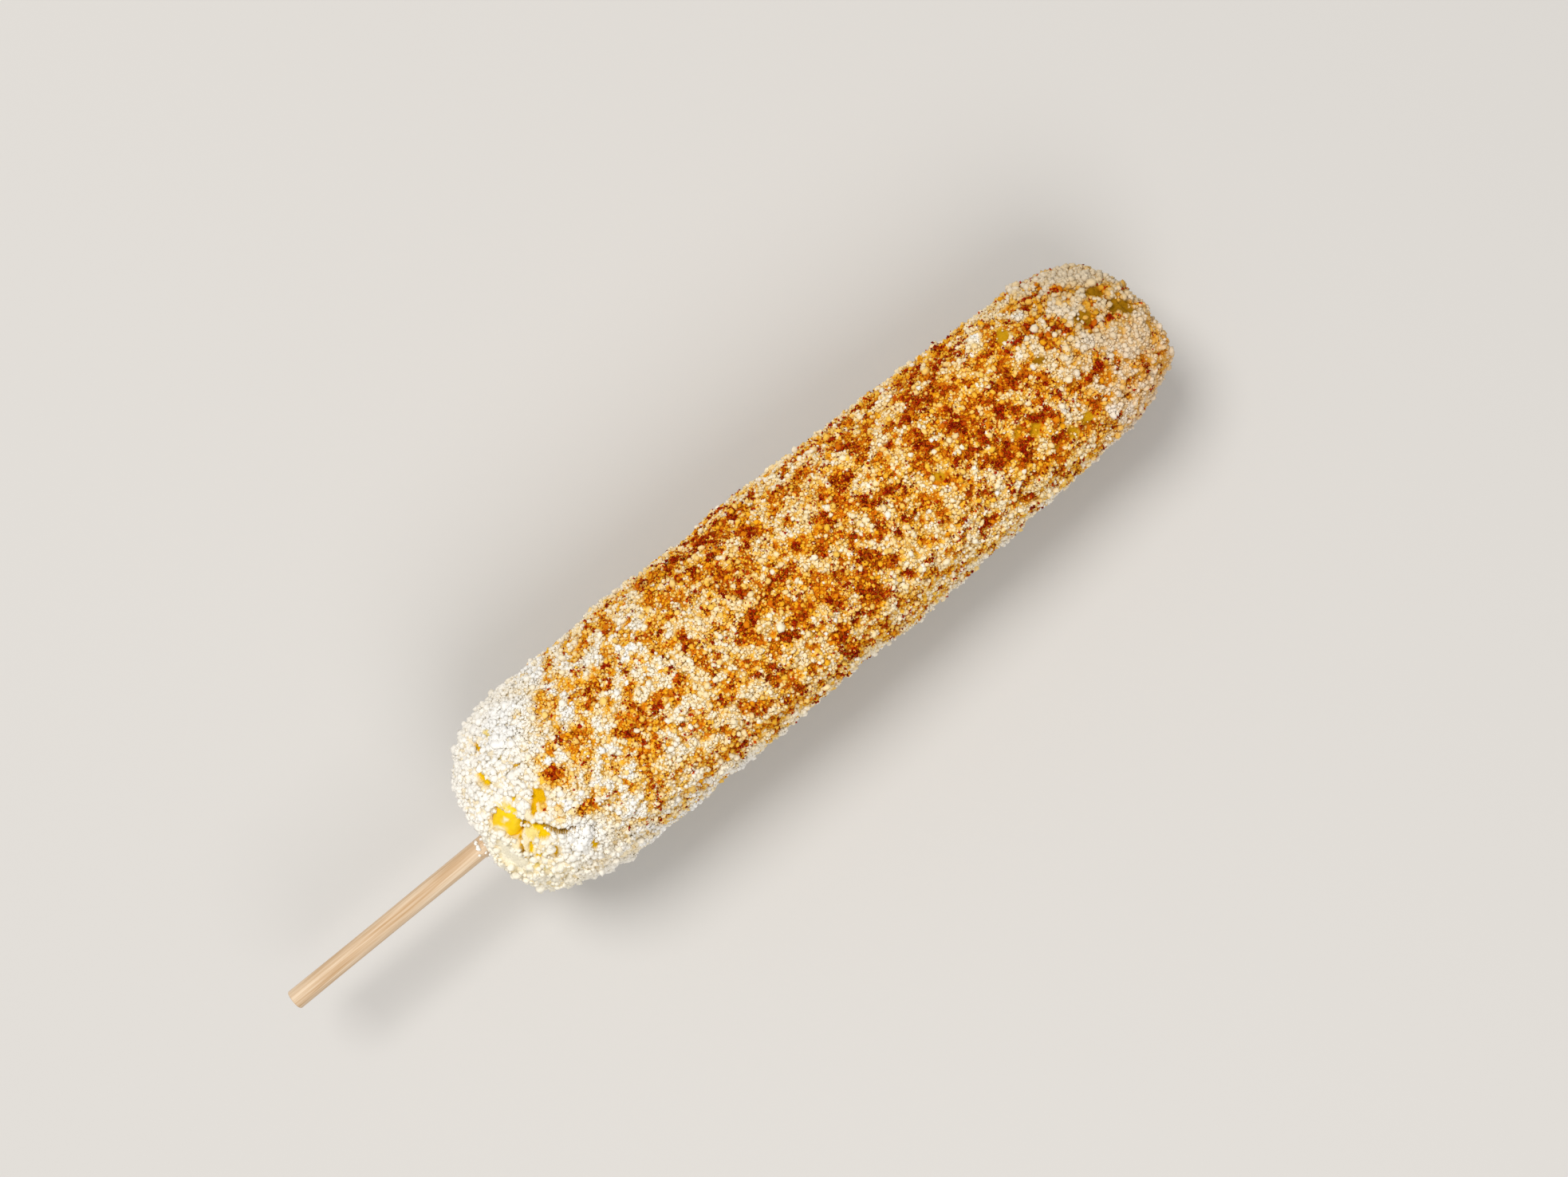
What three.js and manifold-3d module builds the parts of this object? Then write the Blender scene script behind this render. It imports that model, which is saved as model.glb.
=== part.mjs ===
// An ear of sweet corn on a bamboo stick, brushed with mayonnaise and rolled in crumbled white
// cheese. It lies on its side: +X runs from the stick to the tip of the ear and +Z is up. The
// origin is on the table, under the middle of the whole thing. All sizes are in millimetres.
import * as THREE from "three";
import { ImprovedNoise } from "three/addons/math/ImprovedNoise.js";
import { mergeVertices } from "three/addons/utils/BufferGeometryUtils.js";
import Module from "manifold-3d";

const wasm = await Module();
wasm.setup();

// Driving dimensions of the coated ear. "Along" is the distance from its stick end.
const EAR_LENGTH = 189;
const COATED_RADIUS = 24.3;
const NARROWING = 3.2; // the tip half is this much slimmer
const NARROWS_FROM = 85;
const NARROWS_TO = 180;
const COAT_THICKNESS = 2.6;
const CLEARANCE = 0.4; // gap that separate pieces keep from each other

// Both ends are superellipses: the stick end is blunt, the tip rounder and a little lopsided.
const STICK_END = { length: 28, alongPower: 2.2, acrossPower: 4 };
const TIP_END = { length: 26, alongPower: 2.1, acrossPower: 3.6 };
const TIP_LEAN = 2.5; // the tip's last point sits this far towards -Y
const TIP_LEANS_FROM = 183;
const STICK_END_SLANT = { slope: 0.1, from: 3, to: 12 }; // the stalk was cut a little askew

// Kernels stand in straight rows, and every other row is half a kernel further along.
const ROW_COUNT = 16;
const KERNEL_PITCH = 4.6;
const GROOVE_DEPTH = 1.3;
const SAMPLES_PER_KERNEL = 3;
const BARE_KERNELS_AT_STICK = 5; // kernels per row that are shaped one by one
const BARE_KERNELS_AT_TIP = 4;

// The crust is lumpy: broad clumps, smaller ones, and a faint ripple over the rows of kernels.
const CLUMP = { height: 0.9, width: 13 };
const SMALL_CLUMP = { height: 0.5, width: 6 };
const ROW_RIPPLE = 0.18;
const COAT_SEGMENTS = 40;
const COAT_RING_SPACING = 5.6;
const HOLLOW_SEGMENTS = 26;
const HOLLOW_RING_SPACING = 10;

// The stick is a round bamboo rod, pushed into the cob a little off its centre line.
const STICK_RADIUS = 2.5;
const STICK_SHOWING = 56;
const STICK_BURIED = 70;
const STICK_OFFSET = -1.4;
const STICK_EDGE = 0.35; // the cut end's worn edge
const ROUND_SEGMENTS = 18;

// The ear dips towards its slimmer tip as it lies. Its weight presses the crust flat underneath,
// and it stands on the middle of that, a spot with four corners under its centre of mass.
const DIP = THREE.MathUtils.degToRad(1);
const REST_DEPTH = 1.4;
const REST_SPOT = { along: 90, length: 40, width: 10, height: 0.15 };

// Places where the crust is missing and kernels show. "Around" is measured in degrees from
// straight up, positive towards +Y, and "half" gives the half sizes along and around the ear.
const WINDOWS = [
  { along: 5.5, around: 0, half: [4.9, 5.2] },
  { along: 13.3, around: -4, half: [3.2, 3.6] },
  { along: 7.4, around: 29, half: [3, 2.8] },
  { along: 0.6, around: -50, half: [4.6, 6.5] },
  { along: 186, around: 23, half: [4.4, 4.6] },
  { along: 182.6, around: 45, half: [3.4, 4.4] },
  { along: 177.6, around: 20, half: [3.8, 3.2] },
];
const WINDOW_DEPTH = 5;
const WINDOW_SEGMENTS = [12, 6];

const noise = new ImprovedNoise();
const { clamp, degToRad, smoothstep } = THREE.MathUtils;

// Radius of the coated ear at a distance along it, without its lumps. It is 0 at both ends.
function coatedRadius(along) {
  const body = COATED_RADIUS - NARROWING * smoothstep(along, NARROWS_FROM, NARROWS_TO);
  const fromTip = EAR_LENGTH - along;
  return body * endRounding(along, STICK_END) * endRounding(fromTip, TIP_END);
}

function endRounding(distance, end) {
  const inside = clamp(1 - distance / end.length, 0, 1);
  return (1 - inside ** end.alongPower) ** (1 / end.acrossPower);
}

function lean(along) {
  return -TIP_LEAN * smoothstep(along, TIP_LEANS_FROM, EAR_LENGTH);
}

function slant(along, sideways) {
  const { slope, from, to } = STICK_END_SLANT;
  return slope * sideways * (1 - smoothstep(along, from, to));
}

// Distances along the ear for the rings of a surface, closer together on the rounded ends.
function ringPlaces(spacing) {
  const places = [];
  const endRings = Math.round(STICK_END.length / spacing) + 4;
  for (let i = 0; i <= endRings; i++) {
    places.push(STICK_END.length * (i / endRings) ** 2);
  }
  const middle = EAR_LENGTH - STICK_END.length - TIP_END.length;
  const middleRings = Math.round(middle / spacing);
  for (let i = 1; i < middleRings; i++) {
    places.push(STICK_END.length + (middle * i) / middleRings);
  }
  for (let i = endRings; i >= 0; i--) {
    places.push(EAR_LENGTH - TIP_END.length * (i / endRings) ** 2);
  }
  return places;
}

// A surface of revolution with the coated ear's outline, shrunk by an inset on every side.
function turnedEar(places, segments, inset) {
  const outline = places.map((along) => new THREE.Vector2(coatedRadius(along), along));
  const shape = new THREE.LatheGeometry(outline, segments).rotateZ(-Math.PI / 2);
  const shorter = (EAR_LENGTH - 2 * inset) / EAR_LENGTH;
  const slimmer = (COATED_RADIUS - inset) / COATED_RADIUS;
  return shape.scale(shorter, slimmer, slimmer).translate(inset, 0, 0);
}

// Moves each point of a turned surface by what a function of its place says, then slants the stick
// end and leans the tip.
function reshape(shape, move) {
  const points = shape.attributes.position;
  const normals = shape.attributes.normal;
  const point = new THREE.Vector3();
  const normal = new THREE.Vector3();
  for (let i = 0; i < points.count; i++) {
    point.fromBufferAttribute(points, i);
    normal.fromBufferAttribute(normals, i);
    move(point, normal);
    point.x += slant(point.x, point.y);
    point.y += lean(point.x);
    points.setXYZ(i, point.x, point.y, point.z);
  }
  return shape;
}

function clumps(point, { height, width }) {
  return height * noise.noise(point.x / width, point.y / width, point.z / width);
}

function rowPhase(point) {
  return (Math.atan2(point.z, point.y) / (2 * Math.PI)) * ROW_COUNT;
}

function keep() {}

function isOnAxis(point) {
  return Math.hypot(point.y, point.z) < 1e-6;
}

// The crust's outer surface.
function addLumps(point, normal) {
  if (isOnAxis(point)) {
    return;
  }
  const onTheBody = coatedRadius(point.x) / COATED_RADIUS;
  const ripple = -ROW_RIPPLE * onTheBody ** 4 * Math.cos(2 * Math.PI * rowPhase(point));
  const lift = ripple + clumps(point, CLUMP) + clumps(point, SMALL_CLUMP);
  point.addScaledVector(normal, lift);
}

// A rounded crown between two grooves: 0 in the groove, 1 on top.
function crown(phase, power) {
  const fromMiddle = Math.abs(2 * (phase - Math.floor(phase)) - 1);
  return 1 - fromMiddle ** power;
}

// The kernels: rows all the way along, and single kernels near both ends.
function addKernels(point, normal) {
  if (isOnAxis(point)) {
    return;
  }
  const row = rowPhase(point);
  const across = crown(row, 3);
  const stickEdge = BARE_KERNELS_AT_STICK * KERNEL_PITCH;
  const tipEdge = EAR_LENGTH - BARE_KERNELS_AT_TIP * KERNEL_PITCH;
  const shapedOneByOne = point.x < stickEdge || point.x > tipEdge;
  const alongRow = shapedOneByOne ? crown(point.x / KERNEL_PITCH, 3) : 1;
  point.addScaledVector(normal, -GROOVE_DEPTH * (1 - across * alongRow));
  const side = Math.floor(row) % 2 === 0 ? 1 : -1;
  const onTheBody = smoothstep(coatedRadius(point.x), 0.84 * COATED_RADIUS, 0.96 * COATED_RADIUS);
  point.x += (side * across * onTheBody * KERNEL_PITCH) / 4;
}

// Rings that follow the kernels near both ends and are sparse in the middle.
function kernelRings() {
  const places = [];
  const step = KERNEL_PITCH / SAMPLES_PER_KERNEL;
  const stickRings = BARE_KERNELS_AT_STICK * SAMPLES_PER_KERNEL;
  const tipRings = BARE_KERNELS_AT_TIP * SAMPLES_PER_KERNEL;
  for (let i = 0; i <= stickRings; i++) {
    places.push(i * step);
  }
  const middleFrom = stickRings * step;
  const middleTo = EAR_LENGTH - tipRings * step;
  const middleRings = 6;
  for (let i = 1; i < middleRings; i++) {
    places.push(middleFrom + ((middleTo - middleFrom) * i) / middleRings);
  }
  for (let i = tipRings; i >= 0; i--) {
    places.push(EAR_LENGTH - i * step);
  }
  return places;
}

// From a closed three.js geometry to a solid that can be cut, and back.
function toSolid(geometry) {
  const bare = geometry.clone();
  bare.deleteAttribute("normal");
  bare.deleteAttribute("uv");
  const merged = mergeVertices(bare, 1e-4);
  const corners = merged.index.array;
  const triVerts = [];
  for (let i = 0; i < corners.length; i += 3) {
    const [a, b, c] = corners.slice(i, i + 3);
    if (a !== b && b !== c && c !== a) {
      triVerts.push(a, b, c);
    }
  }
  const vertProperties = new Float32Array(merged.attributes.position.array);
  const mesh = new wasm.Mesh({ numProp: 3, vertProperties, triVerts: new Uint32Array(triVerts) });
  return new wasm.Manifold(mesh);
}

function toGeometry(solid) {
  const mesh = solid.getMesh();
  const geometry = new THREE.BufferGeometry();
  geometry.setAttribute("position", new THREE.BufferAttribute(mesh.vertProperties, 3));
  geometry.setIndex(new THREE.BufferAttribute(mesh.triVerts, 1));
  geometry.computeVertexNormals();
  return geometry;
}

// The stick, or with a margin the hole that takes it.
function rod(margin) {
  const radius = STICK_RADIUS + margin;
  const from = -STICK_SHOWING;
  const to = STICK_BURIED + margin;
  const outline = [
    new THREE.Vector2(0, from),
    new THREE.Vector2(radius - STICK_EDGE, from),
    new THREE.Vector2(radius, from + STICK_EDGE),
    new THREE.Vector2(radius, to),
    new THREE.Vector2(0, to),
  ];
  const shape = new THREE.LatheGeometry(outline, ROUND_SEGMENTS).rotateZ(-Math.PI / 2);
  return shape.translate(0, STICK_OFFSET, 0);
}

// The lump that is cut out of the crust at a window.
function windowCutter({ along, around, half }) {
  const radius = coatedRadius(along);
  const angle = degToRad(around);
  const cutter = new THREE.SphereGeometry(1, ...WINDOW_SEGMENTS);
  cutter.scale(half[0], half[1], WINDOW_DEPTH);
  cutter.rotateX(-angle);
  return cutter.translate(along, radius * Math.sin(angle) + lean(along), radius * Math.cos(angle));
}

// Everything is made along the ear's own axis, then dipped and lowered onto the table.
const crust = reshape(turnedEar(ringPlaces(COAT_RING_SPACING), COAT_SEGMENTS, 0), addLumps);
crust.rotateY(DIP);
crust.computeBoundingBox();
const lift = -crust.boundingBox.min.z - REST_DEPTH;
crust.translate(0, 0, lift);

function onTheTable(shape) {
  return shape.rotateY(DIP).translate(0, 0, lift);
}

function makeCornEar() {
  const kernels = reshape(
    turnedEar(kernelRings(), ROW_COUNT * SAMPLES_PER_KERNEL, COAT_THICKNESS),
    addKernels,
  );
  const ear = toSolid(onTheTable(kernels));
  return toGeometry(ear.subtract(toSolid(onTheTable(rod(CLEARANCE)))));
}

// All that the table presses away: everything below it, and a little more around the rest spot.
function pressedAway() {
  const { along, length, width, height } = REST_SPOT;
  const below = new THREE.BoxGeometry(3 * EAR_LENGTH, 4 * COATED_RADIUS, COATED_RADIUS);
  below.translate(0, 0, height - COATED_RADIUS / 2);
  const spot = new THREE.BoxGeometry(length, width, 2 * height).translate(along, 0, height);
  return toSolid(below).subtract(toSolid(spot));
}

function makeCheeseCoat() {
  const inset = COAT_THICKNESS - CLEARANCE;
  const hollow = reshape(turnedEar(ringPlaces(HOLLOW_RING_SPACING), HOLLOW_SEGMENTS, inset), keep);
  let coat = toSolid(crust).subtract(toSolid(onTheTable(hollow))).subtract(pressedAway());
  coat = coat.subtract(toSolid(onTheTable(rod(CLEARANCE))));
  for (const window of WINDOWS) {
    coat = coat.subtract(toSolid(onTheTable(windowCutter(window))));
  }
  return toGeometry(coat);
}

function makeStick() {
  return toGeometry(toSolid(onTheTable(rod(0))));
}

function named(name, geometry, color, roughness) {
  const material = new THREE.MeshStandardMaterial({ color, roughness, metalness: 0 });
  const mesh = new THREE.Mesh(geometry, material);
  mesh.name = name;
  return mesh;
}

const elote = new THREE.Group();
elote.add(named("corn_ear", makeCornEar(), 0xe6b91e, 0.35));
elote.add(named("cheese_coat", makeCheeseCoat(), 0xefe0c4, 0.85));
elote.add(named("stick", makeStick(), 0xe0c294, 0.6));

const reach = new THREE.Box3().setFromObject(elote);
const middle = reach.getCenter(new THREE.Vector3());
elote.position.set(-middle.x, -middle.y, 0);

const scene = new THREE.Group();
scene.add(elote);

export default scene;
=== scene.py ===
# %% [markdown]
# # Elote: a cheese-coated ear of corn on a stick
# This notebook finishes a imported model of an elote, the grilled ear of corn that is brushed with
# mayonnaise, rolled in crumbled white cheese and dusted with ground chile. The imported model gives
# every size and place. Here each piece gets its real surface: kernels, crumbs, chile and bamboo.
# %% Load the frame
import math

import bpy
import numpy as np
from mathutils import Matrix, Vector


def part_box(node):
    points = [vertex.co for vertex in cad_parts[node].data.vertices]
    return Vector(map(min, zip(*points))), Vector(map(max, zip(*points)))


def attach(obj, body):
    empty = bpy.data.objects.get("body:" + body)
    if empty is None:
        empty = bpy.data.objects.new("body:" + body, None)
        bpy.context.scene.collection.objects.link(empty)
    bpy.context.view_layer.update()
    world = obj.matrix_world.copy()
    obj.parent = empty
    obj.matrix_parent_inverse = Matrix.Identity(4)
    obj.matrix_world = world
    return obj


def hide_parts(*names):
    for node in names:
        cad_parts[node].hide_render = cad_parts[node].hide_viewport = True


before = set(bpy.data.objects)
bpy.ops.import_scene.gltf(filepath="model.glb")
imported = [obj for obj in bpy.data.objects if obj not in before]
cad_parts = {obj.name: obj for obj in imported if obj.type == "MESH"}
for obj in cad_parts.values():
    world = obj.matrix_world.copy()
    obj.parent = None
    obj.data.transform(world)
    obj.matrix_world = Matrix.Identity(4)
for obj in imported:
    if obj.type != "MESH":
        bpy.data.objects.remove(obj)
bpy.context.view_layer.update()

print("nodes:", sorted(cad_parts))

# %% [markdown]
# ## The ear's own axes
# Corn is easiest to think of along its own axis: how far a spot is from the stick end, and how far
# round it is from straight up. The ear lies almost level, dipping a little towards its slim tip, so
# one matrix takes those axes (in millimetres) to the table. The stick follows the same axis, so its
# box tells how much the ear dips and how high it lies.
# %% Find the axis from the stick
MM = 0.001
EAR_LENGTH = 189
STICK_SHOWING = 56
STICK_OFFSET = -1.4  # the stick is this far off the ear's centre line

stick_low, stick_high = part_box("stick")
stick_radius = (stick_high.y - stick_low.y) / 2
stick_drop = stick_high.z - stick_low.z - 2 * stick_radius
stick_length = stick_high.x - stick_low.x
dip = math.atan2(stick_drop, stick_length)
stick_end = Vector((stick_low.x, stick_low.y + stick_radius, stick_high.z - stick_radius))
stick_way = Vector((math.cos(dip), 0, -math.sin(dip)))
ear_start = stick_end + stick_way * STICK_SHOWING * MM - Vector((0, STICK_OFFSET * MM, 0))
ear_to_table = Matrix.Translation(ear_start) @ Matrix.Rotation(dip, 4, "Y") @ Matrix.Scale(MM, 4)
start_rounded = tuple(round(v, 4) for v in ear_start)
print(f"dip {math.degrees(dip):.2f} degrees, axis starts at {start_rounded}")

# %% [markdown]
# ## Small tools
# Food is uneven at every size, so almost everything below asks one of two questions. What does
# smooth noise say at this spot? And how far is the nearest lump? A lattice of random numbers
# answers both for thousands of spots at once. The other tools make a piece from arrays and put it
# on the table.
# %% Noise and lumps
PLACE_STIRRERS = (374761393, 668265263, 1442695041)  # they scramble a cell's place
SEED_STIRRER, LAST_STIRRER = 97, 1274126177
SIXTEEN_BITS = 0xFFFF


def smooth_step(low, high, value):
    part = np.clip((value - low) / (high - low), 0, 1)
    return part * part * (3 - 2 * part)


def corner_values(cells, seed):
    """A random number from 0 to 1 for each cell of a lattice, always the same for the same cell."""
    mixed = sum(cells[:, axis] * PLACE_STIRRERS[axis] for axis in range(3)) + seed * SEED_STIRRER
    mixed = (mixed ^ (mixed >> 13)) * LAST_STIRRER
    return ((mixed ^ (mixed >> 16)) & SIXTEEN_BITS) / SIXTEEN_BITS


def noise_at(spots, size, seed):
    """Smooth noise from -1 to 1 whose swells have about this size."""
    scaled = spots / size
    cells = np.floor(scaled).astype(np.int64)
    part = smooth_step(0, 1, scaled - cells)
    total = np.zeros(len(spots))
    for corner in np.ndindex(2, 2, 2):
        share = np.prod(np.where(corner, part, 1 - part), axis=1)
        total += share * corner_values(cells + corner, seed)
    return 2 * total - 1


def swells_at(spots, swells):
    """Several noises added up. Each has a size, a height and a seed."""
    total = np.zeros(len(spots))
    for size, height, seed in swells:
        total += height * noise_at(spots, size, seed)
    return total


def nearest_lump(spots, size, seed):
    """How far off the nearest lump's middle is, and its number. Lumps are about a size apart."""
    cells = np.floor(spots / size).astype(np.int64)
    nearest = np.full(len(spots), np.inf)
    number = np.zeros(len(spots))
    for step in np.ndindex(3, 3, 3):
        cell = cells + np.array(step) - 1
        middle = cell + np.stack([corner_values(cell, seed + c) for c in range(3)], axis=1)
        away = np.linalg.norm(spots / size - middle, axis=1)
        closer = away < nearest
        nearest = np.where(closer, away, nearest)
        number = np.where(closer, corner_values(cell, seed + 3), number)
    return nearest, number


# %% Pieces from arrays
def on_table(spots):
    turn = np.array(ear_to_table.to_3x3())
    return spots @ turn.T + np.array(ear_to_table.translation)


def add_alone(add, **settings):
    """Adds a primitive with nothing else selected."""
    bpy.ops.object.select_all(action="DESELECT")
    add(**settings)
    return bpy.context.object


def edit_all():
    """Goes into edit mode with the whole mesh selected."""
    bpy.ops.object.mode_set(mode="EDIT")
    bpy.ops.mesh.select_all(action="SELECT")


def spots_of(mesh):
    spots = np.empty(len(mesh.vertices) * 3)
    mesh.vertices.foreach_get("co", spots)
    return spots.reshape(-1, 3)


def move_to(mesh, spots):
    mesh.vertices.foreach_set("co", spots.ravel())
    mesh.update()


def corners_of(mesh):
    """The corner numbers of each face, for a mesh of triangles only."""
    corners = np.empty(len(mesh.loops), dtype=np.int32)
    mesh.loops.foreach_get("vertex_index", corners)
    return corners.reshape(-1, 3)


def add_object(name, data):
    added = bpy.data.objects.new(name, data)
    bpy.context.scene.collection.objects.link(added)
    return added


def mesh_piece(name, spots, triangles):
    mesh = bpy.data.meshes.new(name)
    mesh.from_pydata(spots.tolist(), [], triangles.tolist(), shade_flat=False)
    return add_object(name, mesh)


def paint(piece, colours):
    """Keeps one colour for each vertex, for the material to read."""
    layer = piece.data.color_attributes.new("tint", "FLOAT_COLOR", "POINT")
    full = np.column_stack([colours, np.ones(len(colours))]).astype(np.float32)
    layer.data.foreach_set("color", full.ravel())


def blend(first, second, share):
    """Colours mixed from two, with a share of the second for each spot."""
    share = np.asarray(share)[:, None]
    return first * (1 - share) + second * share


# %% [markdown]
# ## The outline of the coated ear
# A real ear is blunt where the stalk was cut and rounder at its tip. Both ends are superellipses,
# and the body slims towards the tip. A spot on the crust is named by its path, the distance along
# the outline from the middle of the stick end, and by its angle from straight up towards +Y.
# %% Outline and surface
COATED_RADIUS = 24.3
NARROWING = 3.2
NARROWS_FROM, NARROWS_TO = 85, 180
STICK_END = (28, 2.2, 4)  # length of the rounding, and its powers along and across
TIP_END = (26, 2.1, 3.6)
TIP_LEAN, TIP_LEANS_FROM = 2.5, 183  # the last few millimetres lean towards -Y
STICK_END_SLANT = 0.1  # the stalk was cut a little askew, further out on the -Y side
SLANT_TO, SLANT_FROM = 12, 3  # it fades out between these distances along the ear
OUTLINE_STEPS = 1200
SLOPE_REACH = 0.4  # slopes are measured over this far to each side


def end_rounding(distance, end):
    length, along_power, across_power = end
    inside = np.clip(1 - distance / length, 0, 1)
    return (1 - inside**along_power) ** (1 / across_power)


def coated_radius(along):
    body = COATED_RADIUS - NARROWING * smooth_step(NARROWS_FROM, NARROWS_TO, along)
    return body * end_rounding(along, STICK_END) * end_rounding(EAR_LENGTH - along, TIP_END)


# the powers crowd the steps towards the two poles, where the outline turns fastest
steps = np.linspace(0, 1, OUTLINE_STEPS)
outline_along = np.concatenate([
    STICK_END[0] * steps**4,
    np.linspace(STICK_END[0], EAR_LENGTH - TIP_END[0], OUTLINE_STEPS)[1:-1],
    EAR_LENGTH - TIP_END[0] * steps[::-1] ** 3,
])
outline_radius = coated_radius(outline_along)
outline_path = np.concatenate([
    [0], np.cumsum(np.hypot(np.diff(outline_along), np.diff(outline_radius)))
])
path_length = outline_path[-1]
print(f"the outline is {path_length:.0f} mm long")


def outline_at(path):
    """How far along the ear, and how far from its axis, the outline is at a path."""
    return [np.interp(path, outline_path, known) for known in (outline_along, outline_radius)]


def surface(path, angle):
    """Spots on the smooth outline, in the ear's axes, and the ways that point straight out."""
    along, radius = outline_at(path)
    along_before, radius_before = outline_at(path - SLOPE_REACH)
    along_after, radius_after = outline_at(path + SLOPE_REACH)
    rise, run = radius_after - radius_before, along_after - along_before
    slope = np.hypot(rise, run)
    rise, run = rise / slope, run / slope
    lean = -TIP_LEAN * smooth_step(TIP_LEANS_FROM, EAR_LENGTH, along)
    sideways, up = np.sin(angle), np.cos(angle)
    slant = STICK_END_SLANT * radius * sideways * smooth_step(SLANT_TO, SLANT_FROM, along)
    spots = np.stack([along + slant, radius * sideways + lean, radius * up], axis=1)
    normals = np.stack([-rise, run * sideways, run * up], axis=1)
    return spots, normals


def spot_above(along, sideways):
    """The spot of the ear's upper side at a distance along it and towards +Y."""
    radius = float(coated_radius(along))
    return np.array([along, sideways, math.sqrt(max(radius**2 - sideways**2, 0))])


def degrees_down(spots):
    """How far round from straight up each spot is, on either side."""
    return np.degrees(np.arctan2(np.abs(spots[:, 1]), spots[:, 2]))


# %% [markdown]
# ## Where the kernels are
# Kernels stand in straight rows, always an even number of them, and every other row is half a
# kernel further along. They are all alike but for the ring round the stick, which has larger ones.
# One function says how high the ear's surface stands over its grooves at any spot. The crust uses
# it to show the kernels faintly, and the kernels themselves are set by the same rows.
# %% Kernel rows
ROW_COUNT = 16
KERNEL_PITCH = 4.6
CROWN_FLATNESS = 3
END_RING_FROM, END_RING_TO = 18.2, 27.0  # paths of the big kernels round the stick end


def kernel_crown(path, angle):
    """1 on a kernel's crown and 0 in the grooves round it."""
    row = angle / (2 * math.pi) * ROW_COUNT
    odd = np.mod(np.round(row), 2)
    place = (path - END_RING_TO) / KERNEL_PITCH + 0.5 + 0.5 * odd
    across = 1 - np.abs(2 * (row - np.round(row))) ** CROWN_FLATNESS
    along = 1 - np.abs(2 * (place - np.round(place))) ** CROWN_FLATNESS
    return across * along


# %% [markdown]
# ## Where the crust is missing
# At the stick end and at the tip the crust has gaps, and crevices run between the big end kernels.
# Seen from above, each gap is an ellipse with a ragged edge. A deep one bares the kernel, and a
# shallow one is a thin place where its yellow shines through. A crevice is a line of short pieces.
# %% Gaps and crevices
LEMON = np.array((0.87, 0.57, 0.003))
AMBER = np.array((0.76, 0.43, 0.001))
SMEARED = np.array((0.93, 0.86, 0.67))
STRAW = np.array((0.90, 0.72, 0.26))
# the corn at the tip, its yellow dimmed under a wet film and painted dark as painted shade
OLIVE_AND_SHADE = np.array((0.34, 0.155, 0.002))
# a painted shadow colour for the bottoms of a crevice and a deep hole
OCHRE_SHADOW = np.array((0.36, 0.18, 0.005))
GOLDEN = np.array((0.60, 0.31, 0.004))
# distance along the ear, distance towards +Y, half length, half width,
# degrees that its length is turned from the ear's axis towards +Y, depth, colour
GAPS = [
    (7.1, -0.9, 3.9, 2.3, -64, 3.2, LEMON),
    (2.6, -7.8, 4.6, 1.8, -88, 0.8, SMEARED),
    (10.2, -5.8, 1.8, 1.4, -60, 0.5, STRAW),
    (12.0, -5.9, 2.2, 0.7, -50, 0.9, LEMON),
    (12.6, -8.1, 1.4, 0.7, -39, 0.8, LEMON),
    (9.6, 2.2, 2.4, 0.7, -64, 0.4, STRAW),
    (9.3, 10.6, 2.4, 1.0, -80, 1.3, LEMON),
    # a small deep hole, painted dark ochre as a painted shadow
    (9.5, 8.6, 0.6, 0.5, -73, 1.6, OCHRE_SHADOW),
    (16.8, -0.2, 1.8, 1.5, 51, 0.55, AMBER),
    (14.1, -2.2, 1.6, 0.6, 51, 0.55, AMBER),
    (8.1, -8.4, 1.3, 0.5, 51, 0.6, LEMON),
    (8.2, -11.0, 0.7, 0.5, 0, 0.4, LEMON),
    (11.7, -12.7, 1.2, 0.5, 51, 0.6, AMBER),
    (6.4, -13.1, 2.0, 0.6, -39, 0.3, STRAW),
    (19.4, -17.0, 1.0, 0.7, 0, 0.4, AMBER),
    (12.1, 17.3, 1.4, 0.7, 84, 0.6, AMBER),
    (16.2, 18.3, 1.0, 0.6, -39, 0.4, STRAW),
    (17.6, 7.9, 1.0, 0.6, -39, 0.4, AMBER),
    (14.7, 12.3, 1.2, 0.5, -39, 0.3, STRAW),
    (12.3, 3.1, 0.9, 0.7, 0, 0.3, LEMON),
    (183.3, 2.5, 3.3, 1.9, -39, 0.55, OLIVE_AND_SHADE),
    (180.7, 8.5, 2.5, 1.0, -39, 0.52, OLIVE_AND_SHADE),
    (174.6, 5.4, 2.3, 1.5, -39, 0.50, OLIVE_AND_SHADE),
    (161.0, 4.2, 1.4, 0.9, -39, 0.4, OLIVE_AND_SHADE),
    (158.3, 13.7, 1.8, 1.6, 0, 0.3, GOLDEN),
    (150.8, -7.4, 1.2, 1.6, -39, 0.4, GOLDEN),
    (157.5, -14.3, 1.2, 1.4, -39, 0.4, GOLDEN),
    (161.3, -13.5, 1.3, 1.5, -39, 0.2, GOLDEN),
    (152.3, -13.8, 1.0, 0.6, -39, 0.3, GOLDEN),
    (147.3, -5.6, 1.1, 1.1, 0, 0.2, GOLDEN),
    (127.5, -1.5, 1.6, 1.0, -39, 0.3, GOLDEN),
]
GAP_BOXINESS = 2.6  # 2 is a true ellipse, and more is boxier
RAGGED_EDGE = [(1.3, 0.35, 5), (0.6, 0.2, 6)]  # sizes, heights and seeds of the noise
EDGE_FROM, EDGE_TO = 0.75, 1.25  # where it fades, 1 being the ellipse itself
# each crevice goes from spot to spot: distance along the ear and distance towards +Y
CREVICES = [
    [(7.4, 4.2), (8.7, 0.6), (10.6, -2.9), (12.8, -5.4), (15.0, -8.4), (16.8, -10.2), (18.8, -11.2)],
    [(10.6, -2.9), (7.7, -4.6), (6.7, -7.4), (5.7, -9.3)],
]
CREVICE_HALF_WIDTH = 0.27
CREVICE_WANDER = [(1.3, 0.3, 8)]


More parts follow.
